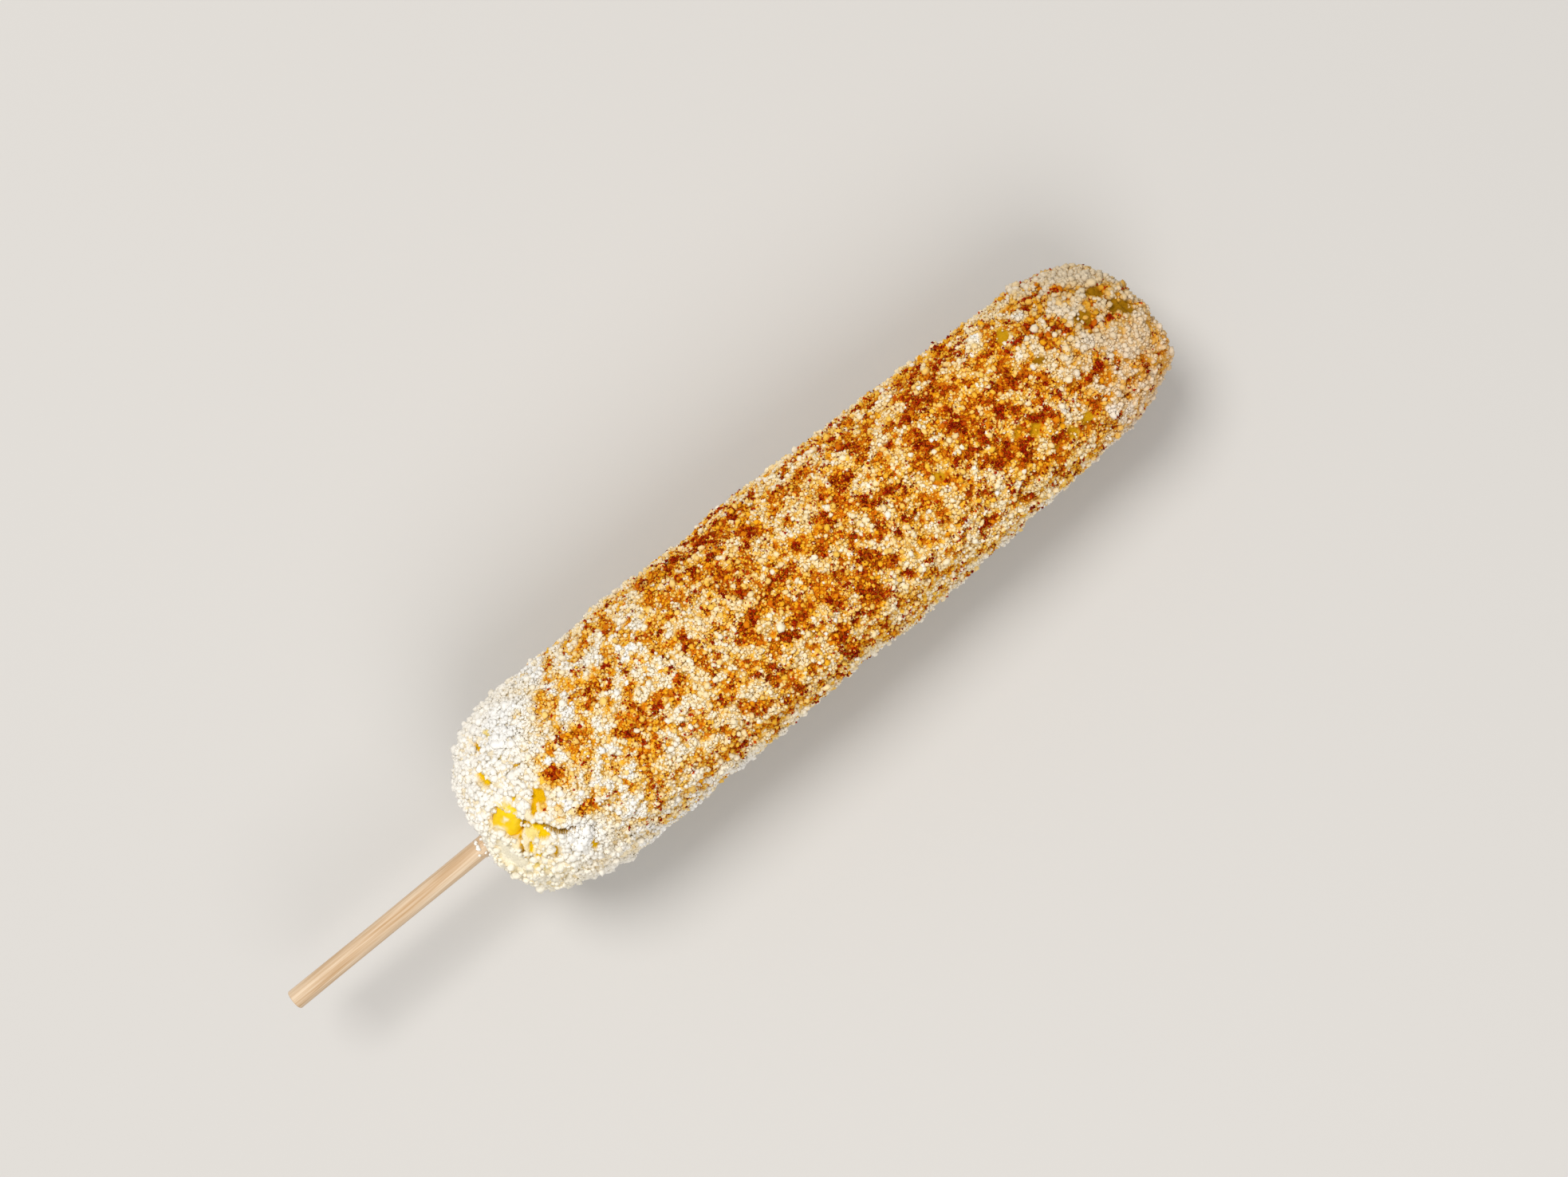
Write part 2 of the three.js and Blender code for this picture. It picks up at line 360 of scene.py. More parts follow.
def ellipse_reach(spots, along, sideways, half_length, half_width, turn):
    """0 in the middle of a slightly boxy ellipse seen from above, and 1 at its edge."""
    away = spots[:, :2] - (along, sideways)
    turned = math.radians(turn)
    by_length = away @ (math.cos(turned), math.sin(turned)) / half_length
    by_width = away @ (-math.sin(turned), math.cos(turned)) / half_width
    total = np.abs(by_length) ** GAP_BOXINESS + np.abs(by_width) ** GAP_BOXINESS
    return total ** (1 / GAP_BOXINESS)


def gaps_at(spots, margin=0.0):
    """How open the crust is, from 0 to 1, how deep it is sunk, and the colour that shows.

    The margin widens every gap."""
    ragged = swells_at(spots, RAGGED_EDGE)
    open_share = np.zeros(len(spots))
    depth = np.zeros(len(spots))
    colour = np.tile(LEMON, (len(spots), 1))
    for along, sideways, half_length, half_width, turn, gap_depth, shown in GAPS:
        half_sizes = (half_length + margin, half_width + margin)
        reach = ellipse_reach(spots, along, sideways, *half_sizes, turn)
        share = (spots[:, 2] > 0) * smooth_step(EDGE_TO, EDGE_FROM, reach + ragged)
        colour = np.where((share > open_share)[:, None], shown, colour)
        open_share = np.maximum(open_share, share)
        depth = np.maximum(depth, gap_depth * share)
    return open_share, depth, colour


def crevice_share(spots, margin=0.0):
    """1 in the middle of a crevice and 0 away from it."""
    share = np.zeros(len(spots))
    flat = spots[:, :2]
    wander = swells_at(spots, CREVICE_WANDER)
    for crevice in CREVICES:
        for start, end in zip(crevice[:-1], crevice[1:]):
            line = np.array(end) - start
            part = np.clip((flat - start) @ line / (line @ line), 0, 1)
            reach = np.linalg.norm(flat - start - part[:, None] * line, axis=1)
            reach /= CREVICE_HALF_WIDTH + margin
            share = np.maximum(share, smooth_step(1.3, 0.2, reach + wander))
    return share * (spots[:, 2] > 0)


# %% [markdown]
# ## Where the chile is
# The chile is dusted on by hand: none at the stick end, most over the middle, less on the tip and
# underneath. Its fat-soluble orange soaks into the cheese round it, so each grain of cheese has a
# stain from clean white, through cream and golden orange, to rust. The broad pattern is a gentle
# rise with listed patches. Noise breaks it up, and high lumps stay cleaner than hollows.
# %% Chile pattern
# distance along the ear, distance towards +Y, radius, how much more (or less) chile
CHILE_PATCHES = [
    (33, 11.6, 7, 0.04), (43, -3.4, 7, 0.03), (37, -16.8, 9, 0.04), (45, 22.2, 10, 0.12),
    (55, 4.6, 7, 0.04), (78, 21.4, 12, 0.14), (80, 3.4, 9, 0.10), (55, -19.1, 10, 0.08),
    (86, -17.1, 11, 0.08), (104, 15.9, 9, 0.08), (111, 19.0, 9, 0.06), (101, -10.1, 10, 0.10),
    (121, 0.8, 10, 0.08), (129, -4.4, 9, 0.07), (138, 13.2, 9, 0.07), (146.5, 2.0, 9, 0.10),
    (143, -7.9, 9, 0.06), (148, -17.8, 9, 0.06), (53, 11.4, 8, -0.12), (34, -4.6, 5, -0.10),
    (103, 19.5, 4, -0.12), (68, -10.2, 8, -0.05), (24, 18.4, 12, -0.12), (20, -13.7, 7, -0.08),
    # pinches near the stick
    (22.4, 1.4, 2.2, 0.48), (24.1, 1.6, 1.1, 0.40), (29.9, -0.6, 3.0, 0.44),
    (25.3, -1.8, 1.9, 0.36), (32.3, 5.4, 2.5, 0.44), (28.4, -8.4, 2.0, 0.32),
    (22.2, -8.2, 1.5, 0.40), (24.9, -10.0, 1.3, 0.40), (19.6, -5.3, 1.2, 0.40),
    (16.2, -3.1, 0.9, 0.44), (17.8, -7.2, 0.9, 0.40), (22.6, 5.8, 1.0, 0.36),
    (25.7, 6.1, 1.4, 0.28), (23.6, 16.7, 1.2, 0.32), (29.4, 15.3, 1.5, 0.36),
    (31.1, 17.2, 1.3, 0.36), (32.4, 13.5, 1.6, 0.32), (34.6, -12.2, 1.8, 0.40),
    (40.7, -13.6, 2.8, 0.28), (35.6, -18.9, 2.8, 0.32), (37.3, -22.5, 1.6, 0.40),
    (28.7, -18.5, 2.0, 0.24), (38.8, -1.2, 1.9, 0.32), (41.3, -3.6, 1.5, 0.48),
    (44.8, -3.4, 2.8, 0.20), (40.0, -7.8, 1.7, 0.40), (47.7, 5.0, 1.9, 0.40),
    (42.0, 11.0, 2.2, 0.32), (38.5, 7.0, 1.8, 0.36), (41.4, 4.4, 1.8, 0.36),
    (50.2, -1.5, 2.4, 0.32), (39.0, 10.1, 2.0, 0.24), (35.3, 18.5, 2.0, 0.28),
    (39.8, 14.7, 1.8, 0.28),
    # pinches towards the tip
    (167.5, 16.3, 2.0, 0.57), (166.0, 12.7, 1.3, 0.66), (172.4, 17.4, 1.2, 0.47),
    (174.4, 13.9, 1.5, 0.57), (174.1, 10.9, 1.8, 0.26), (164.4, 7.1, 1.2, 0.66),
    (170.0, 4.5, 1.5, 0.66), (174.6, 3.0, 1.5, 0.52), (176.0, 1.1, 1.2, 0.31),
    (167.1, 4.9, 1.3, 0.42), (165.9, 2.4, 1.2, 0.36), (158.8, 0.3, 1.6, 0.62),
    (170.8, -3.8, 2.0, 0.42), (169.9, -5.7, 1.1, 0.66), (166.4, -6.5, 0.9, 0.66),
    (172.5, -12.2, 1.1, 0.66), (179.6, -10.8, 1.1, 0.47), (168.2, -12.5, 1.4, 0.36),
    (164.2, -12.1, 1.6, 0.36), (161.7, -5.7, 1.0, 0.52), (154.8, -5.8, 1.4, 0.52),
    (156.0, -8.4, 1.0, 0.62), (153.7, -12.5, 1.4, 0.42), (147.7, -9.5, 1.8, 0.52),
    (154.7, 4.8, 1.8, 0.52), (149.5, 4.9, 1.5, 0.42), (145.8, 4.2, 1.4, 0.42),
    (145.0, 0.9, 1.8, 0.36), (137.0, 4.7, 2.0, 0.42), (145.6, 10.2, 1.8, 0.42),
    (149.8, -0.8, 2.0, 0.31), (153.5, 8.2, 1.2, 0.52), (157.2, 18.1, 1.0, 0.52),
    (153.4, 12.2, 1.0, 0.52), (180.5, 5.0, 3.5, 0.10),
    # clean clumps between them
    (182.1, 12.6, 4.0, -0.30), (178.0, 16.3, 3.0, -0.30), (164.7, 14.9, 1.6, -0.40),
    (158.3, 7.9, 2.4, -0.40), (154.4, 16.7, 1.8, -0.30), (159.0, -6.9, 1.8, -0.30),
    (152.7, -2.0, 1.5, -0.30), (169.1, -15.1, 3.0, -0.20), (182.1, -5.7, 5.0, -0.20),
    (174.9, -1.4, 3.0, -0.20),
]
LUMP_SIZE, LUMP_SEED = 2.9, 35
# sizes, heights and seeds
CHILE_WANDER = [(9, 7, 21)]  # the chile does not begin at a straight ring
CLUMP_SWELLS = [(3.0, 0.9, 41), (1.4, 0.9, 42)]
PINCH_SWELLS = [(2.1, 1, 94), (1.0, 0.4, 95)]


def chile_amount(spots):
    """The broad amount of chile, from 0 to about 0.8."""
    along = spots[:, 0]
    amount = 0.03 + 0.245 * smooth_step(10, 40, along + swells_at(spots, CHILE_WANDER))
    amount += 0.19 * smooth_step(35, 75, along) - 0.235 * smooth_step(152, 180, along)
    for place, sideways, radius, more in CHILE_PATCHES:
        reach = np.linalg.norm(spots - spot_above(place, sideways), axis=1) / radius
        amount += more * np.exp(-reach**2) * smooth_step(10, 20, along)
    # less falls on the -Y side, and least of all underneath
    amount *= 1 - 0.3 * smooth_step(50, 90, degrees_down(spots)) * (spots[:, 1] < 0)
    amount *= 1 - 0.6 * smooth_step(85, 150, degrees_down(spots))
    return np.clip(amount, 0.0, 0.85)


def clump_at(spots):
    """1 on a clump of clean cheese and 0 in the hollows between clumps."""
    _, number = nearest_lump(spots, LUMP_SIZE, LUMP_SEED)
    return smooth_step(-0.55, 0.55, swells_at(spots, CLUMP_SWELLS) + 0.4 * (number - 0.5))


def heap_at(spots, amount):
    """1 where a pinch of chile fell and 0 away from it. Where there is most, the pinches join."""
    joined = 0.45 * smooth_step(0.4, 0.75, amount)
    return smooth_step(0.30, 0.52, swells_at(spots, PINCH_SWELLS) + joined)


def stain_at(spots):
    """How deeply the cheese is stained, from 0 for white to 1 for rust."""
    amount = chile_amount(spots)
    # clumps are cleaner than the hollows between them, and a pinch stains what it fell on
    stain = amount + 0.54 * smooth_step(0.02, 0.3, amount) * (0.45 - clump_at(spots))
    stain += 0.20 * smooth_step(0.05, 0.30, amount) * (heap_at(spots, amount) - 0.12)
    least = 0.45 * amount * smooth_step(0.2, 0.45, amount)
    return np.clip(stain, least, 0.97)


def moist_at(spots):
    """1 at the ends of the ear, where more mayonnaise binds the cheese, and 0 between them."""
    along = spots[:, 0]
    return np.maximum(smooth_step(22, 12, along), 0.7 * smooth_step(166, 180, along))


# stains from clean cheese to soaked chile, and their linear colours
STAIN_STEPS = [0.0, 0.15, 0.32, 0.48, 0.62, 0.78, 1.0]
STAIN_COLOURS = np.array([
    (0.92, 0.90, 0.86),
    (0.92, 0.78, 0.52),
    (0.91, 0.61, 0.18),
    (0.89, 0.52, 0.050),
    (0.86, 0.39, 0.008),
    (0.62, 0.11, 0.001),
    (0.26, 0.014, 0.001),
])
# painted shade at the tip: creams that darken and warm its colours, greyer towards +Y and more
# golden towards -Y
CREAM_AND_SHADE_GREY = np.array((0.75, 0.64, 0.48))
CREAM_AND_SHADE_GOLD = np.array((0.85, 0.69, 0.51))
YELLOWING = (0.01, 0.06, 0.24)  # how much red, green and blue the corn's shine takes away
YELLOW_SWELLS = [(4.5, 1, 47)]


def stain_and_shade_colour(spots, stain):
    """The cheese's colour. Here and there it is yellower, where the corn shines through, and the tip
    is painted darker as painted shade.
    """
    colours = np.stack([np.interp(stain, STAIN_STEPS, part) for part in STAIN_COLOURS.T], axis=1)
    yellow = smooth_step(0.2, 0.7, swells_at(spots, YELLOW_SWELLS)) * smooth_step(0.05, 0.2, stain)
    yellow += 0.5 * smooth_step(18, 8, spots[:, 0]) * smooth_step(6, -6, spots[:, 1])
    colours *= 1 - yellow[:, None] * YELLOWING
    # the tip has more mayonnaise and less cheese, so it is creamier, and it is also painted darker,
    # a painted shade for the weaker light it gets; on its -Y side more corn shines through
    creamier_and_shaded = smooth_step(150, 180, spots[:, 0])[:, None]
    tip_cream_and_shade = blend(CREAM_AND_SHADE_GREY, CREAM_AND_SHADE_GOLD, smooth_step(8, -14, spots[:, 1]))
    return colours * (1 - creamier_and_shaded * (1 - tip_cream_and_shade))


# %% [markdown]
# ## The crust under the crumbs
# The mayonnaise and the finest cheese make one lumpy skin. It could be sculpted, but the crust has
# no deliberate shape: it follows the ear with clumps of every size. So fine grids are wrapped round
# the outline, welded where they meet, and each vertex is pushed in or out along its normal. The
# skin is three closed sections, so that each can be fine enough to show single grains.
# %% Crust height
CRUMB_ALLOWANCE = 1.25  # the crumbs stand this far over the skin
CREVICE_DEPTH = 1.9
CRUST_SWELLS = [(13, 0.6, 31), (5.5, 0.5, 32)]  # sizes, heights and seeds
GRAIN_SIZE, GRAIN_SEED = 1.15, 55


def dome(away, number):
    """The rounded top of a lump, some lumps higher than others."""
    return np.sqrt(np.clip(1 - (away / 0.8) ** 2, 0, 1)) - 0.6 + 0.6 * (number - 0.5)


def crust_height(path, angle, spots):
    along = spots[:, 0]
    open_share, depth, _ = gaps_at(spots)
    moist = moist_at(spots)
    height = (0.80 - 0.35 * moist) * dome(*nearest_lump(spots, LUMP_SIZE, LUMP_SEED))
    height += (0.25 + 0.30 * moist) * dome(*nearest_lump(spots, GRAIN_SIZE, GRAIN_SEED))
    height += 0.5 * (clump_at(spots) - 0.5)
    height *= 1 - 0.9 * open_share * smooth_step(0.4, 0.8, depth)
    height -= CRUMB_ALLOWANCE * (1 - 0.25 * moist)
    height += swells_at(spots, CRUST_SWELLS)
    # the kernels show faintly, most at the two ends, where the crust is thinnest
    shows = 0.25 + 0.6 * smooth_step(26, 8, along) + 0.3 * smooth_step(165, 185, along)
    shows *= smooth_step(END_RING_FROM - 3, END_RING_FROM + 3, path)
    height += (kernel_crown(path, angle) - 0.7) * shows
    return height - np.maximum(depth, CREVICE_DEPTH * crevice_share(spots))


# %% Wrap grids into the crust
REST_HEIGHT = 0.4 * MM  # the skin stays this far above the table, and crumbs fill the rest
CRUST_NAMES = ["crust_by_stick", "crust_middle", "crust_by_tip"]
SECTION_ENDS = np.linspace(0, path_length, len(CRUST_NAMES) + 1)
MOST_SKIN_STAIN_AND_SHADE = 0.72
CRUST_SEGMENTS = 400
RING_SPACING = 0.39


def crust_section(name, path_from, path_to):
    ring_paths = np.linspace(path_from, path_to, round((path_to - path_from) / RING_SPACING))
    pull = np.ones(len(ring_paths))  # 1 on the outline and 0 on the axis
    if path_from > 0:
        ring_paths, pull = np.append([path_from] * 2, ring_paths), np.append([0, 0.5], pull)
    if path_to < path_length:
        ring_paths, pull = np.append(ring_paths, [path_to] * 2), np.append(pull, [0.5, 0])
    pull[[0, -1]] = 0
    squares = {"x_subdivisions": len(ring_paths) - 1, "y_subdivisions": CRUST_SEGMENTS}
    piece = add_alone(bpy.ops.mesh.primitive_grid_add, size=2, **squares)
    piece.name = piece.data.name = name
    flat = spots_of(piece.data)
    ring = np.round((flat[:, 0] + 1) / 2 * (len(ring_paths) - 1)).astype(int)
    path, angle = ring_paths[ring], flat[:, 1] * math.pi
    smooth_spots, outward = surface(path, angle)
    spots = smooth_spots + outward * crust_height(path, angle, smooth_spots)[:, None]
    spots[:, 1:] *= pull[ring][:, None]
    placed = on_table(spots)
    placed[:, 2] = np.maximum(placed[:, 2], REST_HEIGHT)
    move_to(piece.data, placed)

    # the skin, down between the crumbs, is painted more deeply stained than the crumbs: partly the
    # chile gathered in the hollows, and partly a painted warm shade that stands in for light glowing
    # through the cheese
    stain = np.minimum(1.15 * stain_at(smooth_spots) + 0.09, MOST_SKIN_STAIN_AND_SHADE)
    colours = stain_and_shade_colour(smooth_spots, stain)
    open_share, _, shown = gaps_at(smooth_spots)
    colours = blend(colours, shown, smooth_step(0.15, 0.7, open_share))
    # by the stick a crevice shows the kernels' sides, painted a shaded amber, and further along it
    # is painted dark ochre, a painted shadow down in the crevice
    crevice_colour_and_shadow = blend(AMBER, OCHRE_SHADOW, smooth_step(11, 16, smooth_spots[:, 0]))
    paint(piece, blend(colours, crevice_colour_and_shadow, smooth_step(0.1, 0.6, crevice_share(smooth_spots, 0.2))))

    edit_all()
    bpy.ops.mesh.remove_doubles(threshold=1e-6)
    bpy.ops.mesh.normals_make_consistent(inside=False)
    bpy.ops.object.mode_set(mode="OBJECT")
    bpy.ops.object.shade_smooth()
    lowest = placed[:, 2].min() / MM
    print(f"{name}: {2 * len(piece.data.polygons)} triangles, lowest {lowest:.2f} mm")
    return piece


crust_pieces = [
    crust_section(name, path_from, path_to)
    for name, path_from, path_to in zip(CRUST_NAMES, SECTION_ENDS[:-1], SECTION_ENDS[1:])
]

# %% [markdown]
# ## One crumb, copied many times
# Crumbled cheese is thousands of grains of 0.5 to 1.5 mm. Instances would be lost on export, so
# each size of crumb is one joined mesh. A small ball is knocked out of shape a few times, and numpy
# stacks a turned and scaled copy of one of those for each crumb. The larger crumbs are icospheres
# of twenty faces. The smaller ones are octahedra, a cone with its base pulled down to a point.
# %% Model a few crumb shapes
SHAPE_COUNT = 8
MAX_FACES = 198_000  # a piece stays under 200,000


def knocked_about(ball, roughness, squash, seed):
    """Some uneven copies of a small ball, and the corners of its triangles."""
    spots, triangles = spots_of(ball.data), corners_of(ball.data)
    random = np.random.default_rng(seed)
    shapes = []
    for _ in range(SHAPE_COUNT):
        knocks = 1 + random.uniform(-roughness, roughness, (len(spots), 1))
        shapes.append(spots * knocks * random.uniform(*squash, 3))
    return np.array(shapes), triangles


twenty_faces = add_alone(bpy.ops.mesh.primitive_ico_sphere_add, subdivisions=1, radius=1)
eight_faces = add_alone(
    bpy.ops.mesh.primitive_cone_add,
    vertices=4, radius1=1, radius2=0, depth=2, end_fill_type="TRIFAN",
)
for corner in eight_faces.data.vertices:
    if corner.co.xy.length > 0.5:
        corner.co.z = 0
crumb_kit = knocked_about(twenty_faces, roughness=0.24, squash=(0.72, 1.2), seed=61)
grain_kit = knocked_about(eight_faces, roughness=0.20, squash=(0.8, 1.2), seed=62)
fleck_kit = knocked_about(eight_faces, roughness=0.3, squash=(0.4, 1.3), seed=92)
for ball in (twenty_faces, eight_faces):
    bpy.data.objects.remove(ball)
print("faces of one crumb and one grain:", len(crumb_kit[1]), len(grain_kit[1]))


def turns(random, count):
    """A random turn for each crumb, as matrices made from unit quaternions."""
    quaternions = random.normal(size=(count, 4))
    w, x, y, z = (quaternions / np.linalg.norm(quaternions, axis=1, keepdims=True)).T
    rows = [
        [1 - 2 * (y * y + z * z), 2 * (x * y - z * w), 2 * (x * z + y * w)],
        [2 * (x * y + z * w), 1 - 2 * (x * x + z * z), 2 * (y * z - x * w)],
        [2 * (x * z - y * w), 2 * (y * z + x * w), 1 - 2 * (x * x + y * y)],
    ]
    return np.array(rows).transpose(2, 0, 1)


def scatter(name, kit, centres, sizes, colours, seed):
    """One joined piece, with a crumb of each size at each centre. Both are in millimetres."""
    shapes, triangles = kit
    random = np.random.default_rng(seed)
    count = len(centres)
    chosen = shapes[random.integers(0, SHAPE_COUNT, count)]
    turned = np.einsum("nij,nkj->nki", turns(random, count), chosen)
    spots = turned * sizes[:, None, None] + centres[:, None, :]
    placed = on_table(spots.reshape(-1, 3))
    placed[:, 2] = np.maximum(placed[:, 2], 0)
    corners = shapes.shape[1]
    faces = triangles[None, :, :] + (np.arange(count) * corners)[:, None, None]
    piece = mesh_piece(name, placed, faces.reshape(-1, 3))
    paint(piece, np.repeat(colours, corners, axis=0))
    print(f"{name}: {count} grains, {len(piece.data.polygons)} faces")
    return piece


# %% [markdown]
# ## Laying the crumbs
# Rings of spots, each ring shifted and each spot nudged by most of the spacing, cover the crust
# without bald places or a pattern. There are fewer underneath, and none where the crust is missing.
# The largest crumbs were rolled on last, so they sit highest and are the whitest. The small ones
# lie in the hollows with the chile, so they are the most stained.
# %% Spread crumbs over the crust
NUDGE = 0.7  # as a share of the spacing
SIZE_SPREAD = 0.22


def spread(spacing, random):
    paths, angles = [], []
    path = spacing / 2
    while path < path_length:
        radius = float(np.interp(path, outline_path, outline_radius))
        count = max(1, round(2 * math.pi * radius / spacing))
        ring = (np.arange(count) + random.uniform()) / count * 2 * math.pi
        ring += random.uniform(-NUDGE, NUDGE, count) * spacing / max(radius, 1)
        paths.append(path + random.uniform(-NUDGE, NUDGE, count) * spacing)
        angles.append(np.angle(np.exp(1j * ring)))
        path += spacing * math.sqrt(3) / 2
    return np.clip(np.concatenate(paths), 0, path_length), np.concatenate(angles)


def lay(name, kit, spacing, radius, sit, cleaner, gathered, thinned, seed):
    """Lays one size of crumb.

    They can sit high or low on the skin, be cleaner than it, be gathered on its clumps, and be
    thinned out at the moist ends."""
    random = np.random.default_rng(seed)
    path, angle = spread(spacing * (1), random)
    spots, normals = surface(path, angle)
    open_share, depth, _ = gaps_at(spots, 1.1 * radius)
    left_out = np.maximum.reduce([
        gathered * (1 - clump_at(spots)) * smooth_step(0.05, 0.3, chile_amount(spots)),
        thinned * moist_at(spots),
        1.5 * open_share * (0.55 + 0.45 * smooth_step(0.4, 0.8, depth)),  # shallow gaps keep a few
        1.5 * crevice_share(spots, 0.7 * radius),
        0.8 * smooth_step(100, 150, degrees_down(spots)),
    ])
    wanted = np.flatnonzero(random.uniform(size=len(path)) > left_out)
    wanted = np.sort(random.permutation(wanted)[: MAX_FACES // len(kit[1])])
    path, angle, spots, normals = path[wanted], angle[wanted], spots[wanted], normals[wanted]
    sizes = radius * np.clip(np.exp(random.normal(0, SIZE_SPREAD, len(path))), 0.55, 1.8)
    sizes *= 1 + 0.5 * smooth_step(28, 14, spots[:, 0])
    sizes *= 1 + 0.4 * smooth_step(160, 172, spots[:, 0]) * smooth_step(-6, 8, spots[:, 1])
    lift = random.uniform(0, 1, len(path))
    height = crust_height(path, angle, spots)
    height += (sit[0] + (sit[1] - sit[0]) * lift - 0.55 * moist_at(spots)) * sizes
    centres = spots + normals * height[:, None]
    # what sits high stays clean, except under a pinch of chile
    cleaner_here = cleaner + 0.35 * (lift - 0.5)
    stain = stain_at(spots) * (1 - cleaner_here * (1 - 0.4 * heap_at(spots, chile_amount(spots))))
    stain += random.normal(0, 0.14, len(path)) * smooth_step(0.02, 0.4, stain)
    colours = stain_and_shade_colour(spots, np.clip(stain, 0, 0.92))
    colours *= random.uniform(0.92, 1.03, (len(path), 1))
    laid.append((spots, normals, height, sizes))
    return scatter(name, kit, centres, sizes, colours, seed + 1)


# kit, spacing, radius, how low and how high they sit in radii, cleaner, gathered, thinned, seed
LAYERS = {
    "large_crumbs": (crumb_kit, 1.25, 0.52, (0.1, 0.9), 0.22, 0.5, 0.0, 71),
    "crumbs": (grain_kit, 0.86, 0.43, (0.0, 0.9), 0.14, 0.3, 0.6, 73),
    "small_crumbs": (grain_kit, 0.88, 0.36, (-0.1, 1.0), 0.05, 0.0, 0.85, 75),
    "fine_grains": (grain_kit, 0.88, 0.30, (0.0, 1.3), 0.0, 0.0, 0.9, 77),
}
laid = []  # for each layer, its spots on the outline, their normals, and its heights and sizes
crumb_pieces = [lay(name, *layer) for name, layer in LAYERS.items()]

# %% [markdown]
# ## Chile flakes
# Ground chile is darker and finer than the cheese: flat flecks, about half a millimetre across,
# that cling to the crumbs in little heaps. A squashed octahedron is enough for one fleck. Each
# clings to the outside of a crumb, most where the cheese is already stained.
# %% Lay the chile
FLECK_COUNT = 19000
FLECK_SIZE = 0.28  # half its width
FLECK_COLOURS = np.array([(0.42, 0.022, 0.001), (0.20, 0.006, 0.001), (0.64, 0.08, 0.001)])
FLECK_SHARES = (0.50, 0.35, 0.15)
FLECK_SPECKS = [(1.1, 1, 96)]  # flecks stick together in specks of a millimetre


def highest_near(spots, tops, size):
    """How high the highest crumb stands in each crumb's own cell of a lattice."""
    _, cell_of = np.unique(np.floor(spots / size).astype(np.int64), axis=0, return_inverse=True)
    cell_of = cell_of.ravel()
    highest = np.full(cell_of.max() + 1, -np.inf)
    np.maximum.at(highest, cell_of, tops)
    return highest[cell_of]


random = np.random.default_rng(91)
spots, ways, heights, crumb_sizes = (np.concatenate(part) for part in zip(*laid))
tops = heights + crumb_sizes
exposed = tops > highest_near(spots, tops, 1.0) - 0.35
gathered = smooth_step(-0.1, 0.4, swells_at(spots, FLECK_SPECKS))
likely = np.clip(stain_at(spots) - 0.15, 0, 0.6) ** 1.2
likely *= 0.09 + heap_at(spots, chile_amount(spots))
likely *= exposed * (0.15 + gathered)
likely += 0.0004 * smooth_step(15, 30, spots[:, 0])
likely *= (1 - gaps_at(spots)[0]) * smooth_step(110, 60, degrees_down(spots))
chosen = random.choice(len(spots), FLECK_COUNT, p=likely / likely.sum())
outward = random.normal(size=(FLECK_COUNT, 3)) + 1.6 * ways[chosen]
outward /= np.linalg.norm(outward, axis=1, keepdims=True)
fleck_sizes = np.clip(FLECK_SIZE * np.exp(random.normal(0, 0.35, FLECK_COUNT)), 0.11, 0.45)
fleck_colours = FLECK_COLOURS[random.choice(3, FLECK_COUNT, p=FLECK_SHARES)]
fleck_centres = (
    spots[chosen]
    + ways[chosen] * heights[chosen][:, None]
    + outward * 0.95 * crumb_sizes[chosen][:, None]
)
flecks = scatter("chile_flecks", fleck_kit, fleck_centres, fleck_sizes, fleck_colours, 93)

# %% [markdown]
# ## Kernels
# A kernel's crown is a plump, slightly flattened cushion. One is modelled from a cube: subdivided,
# rounded towards a sphere, and narrowed at its foot. It is then copied along every row, each copy
# a little different, and the ring of kernels round the stick is larger and better rounded.
# %% Model one kernel
ROUNDED = 0.55  # 0 is a cube and 1 is a ball
FOOT_NARROWING = 0.35


def kernel_shape(smoothing):
    start = add_alone(bpy.ops.mesh.primitive_cube_add, size=2)
    edit_all()
    bpy.ops.mesh.subdivide(number_cuts=2)
    bpy.ops.transform.tosphere(value=ROUNDED)
    bpy.ops.object.mode_set(mode="OBJECT")
    if smoothing:
        rounding = start.modifiers.new("rounding", "SUBSURF")
        rounding.levels = rounding.render_levels = smoothing
        bpy.ops.object.modifier_apply(modifier=rounding.name)
    edit_all()
    bpy.ops.mesh.quads_convert_to_tris()
    bpy.ops.object.mode_set(mode="OBJECT")
    spots = spots_of(start.data)
    spots = spots / np.abs(spots).max()
    foot = smooth_step(0, -1, spots[:, 2])[:, None]
    spots[:, :2] *= 1 - FOOT_NARROWING * foot
    triangles = corners_of(start.data)
    bpy.data.objects.remove(start)
    return spots, triangles


# %% Set the kernels in rows
KERNEL_INSET = 3.3  # kernels lie this far under the outline
TIP_RISE, RISES_FROM, RISES_TO = 1.0, 34, 20  # and this much less near the tip
KERNEL_HEIGHT = 4.5
NO_KERNELS = 7  # there are none on this much of the tip
LEAST_RADIUS = 1.5
CREAM = np.array((0.93, 0.87, 0.66))
# cheese smeared on the bare kernels: an ellipse seen from above, like the gaps
SMEARS = [(5.5, -0.6, 1.7, 0.8, -39), (8.2, 0.0, 0.8, 0.4, -39), (9.8, -6.2, 1.8, 1.3, -60)]
SMEAR_EDGE = [(1.1, 0.3, 103)]


